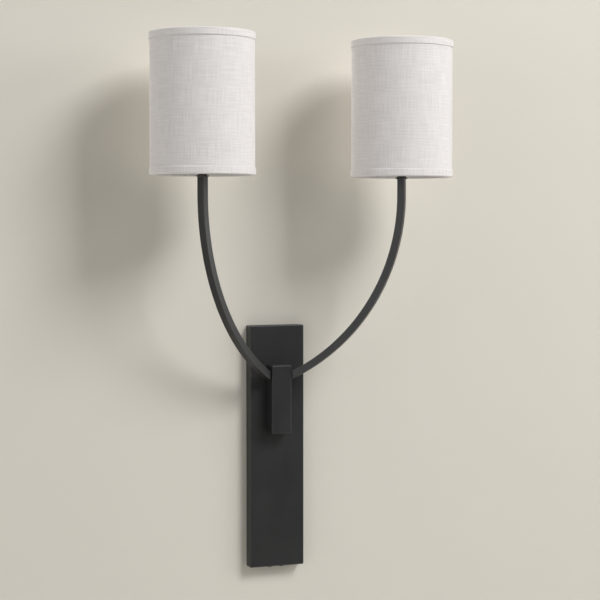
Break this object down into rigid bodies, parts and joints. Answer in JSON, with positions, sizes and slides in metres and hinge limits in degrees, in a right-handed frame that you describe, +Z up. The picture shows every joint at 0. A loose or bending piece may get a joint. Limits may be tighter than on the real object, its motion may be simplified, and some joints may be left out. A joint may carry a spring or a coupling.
{
  "type": "double arm wall sconce",
  "caption": "Wall light with a tall flat backplate, a front block, curved square arms that spread up and forward, and linen drum shades over upright lamp holders.",
  "frame": {"origin": "centre of the backplate's footprint on the wall plane", "axes": "+Z up, +X right seen from the room, +Y into the wall, so the light stands out along -Y"},
  "size_m": [0.3926, 0.1766, 0.6761],
  "materials": {
    "black_metal": "satin black powder coat",
    "linen": "plain woven linen",
    "shade_lining": "white styrene sheet",
    "shade_wire": "white epoxy coated steel",
    "zinc_steel": "zinc plated",
    "socket_plastic": "black phenolic",
    "brass": "plain",
    "nickel_brass": "nickel plated bulb base",
    "frosted_glass": "inside frosted",
    "bulb_insulator": "dark vitreous insulator with a soldered tip",
    "nylon": "moulded nylon",
    "hot_insulation": "black insulation",
    "neutral_insulation": "white insulation",
    "ground_metal": "green ground finish",
    "connector_plastic": "orange moulded shell"
  },
  "bodies": {
    "fixture": {"backplate": "black_metal", "mounting_strap": "zinc_steel", "hanger_clip": "zinc_steel", "arm_block": "black_metal", "wire_bushing": "nylon", "ground_screw": "ground_metal", "ground_lead": "ground_metal", "plate_screws": "black_metal", "block_screws": "zinc_steel", "block_washers": "zinc_steel", "wire_connectors": "connector_plastic", "hot_leads": "hot_insulation", "neutral_leads": "neutral_insulation", "left_arm": "black_metal", "left_arm_nipple": "zinc_steel", "left_arm_disc": "black_metal", "left_socket_cap": "socket_plastic", "left_socket_body": "socket_plastic", "left_screw_shell": "brass", "left_centre_contact": "brass", "right_arm": "black_metal", "right_arm_nipple": "zinc_steel", "right_arm_disc": "black_metal", "right_socket_cap": "socket_plastic", "right_socket_body": "socket_plastic", "right_screw_shell": "brass", "right_centre_contact": "brass"},
    "left_shade": {"left_shade_fitter": "shade_wire", "left_shade_top_ring": "shade_wire", "left_shade_liner": "shade_lining", "left_shade_cover": "linen", "left_shade_top_trim": "linen", "left_shade_bottom_trim": "linen"},
    "left_ring": {"left_retaining_ring": "socket_plastic"},
    "left_bulb": {"left_bulb_glass": "frosted_glass", "left_bulb_base": "nickel_brass", "left_bulb_contact": "bulb_insulator"},
    "right_shade": {"right_shade_fitter": "shade_wire", "right_shade_top_ring": "shade_wire", "right_shade_liner": "shade_lining", "right_shade_cover": "linen", "right_shade_top_trim": "linen", "right_shade_bottom_trim": "linen"},
    "right_ring": {"right_retaining_ring": "socket_plastic"},
    "right_bulb": {"right_bulb_glass": "frosted_glass", "right_bulb_base": "nickel_brass", "right_bulb_contact": "bulb_insulator"}
  },
  "joints": [
    {"name": "left_shade_lift", "type": "slide", "parent": "fixture", "child": "left_shade", "axis": [0, 0, 1], "range_m": [0, 0.105]},
    {"name": "left_ring_turn", "type": "hinge", "parent": "left_shade", "child": "left_ring", "pos_m": [-0.1317, -0.1119, 0.34602], "axis": [0, 0, 1], "continuous": true},
    {"name": "left_bulb_turn", "type": "hinge", "parent": "fixture", "child": "left_bulb", "pos_m": [-0.1317, -0.1119, 0.34602], "axis": [0, 0, 1], "continuous": true},
    {"name": "right_shade_lift", "type": "slide", "parent": "fixture", "child": "right_shade", "axis": [0, 0, 1], "range_m": [0, 0.105]},
    {"name": "right_ring_turn", "type": "hinge", "parent": "right_shade", "child": "right_ring", "pos_m": [0.1317, -0.1119, 0.34602], "axis": [0, 0, 1], "continuous": true},
    {"name": "right_bulb_turn", "type": "hinge", "parent": "fixture", "child": "right_bulb", "pos_m": [0.1317, -0.1119, 0.34602], "axis": [0, 0, 1], "continuous": true}
  ]
}
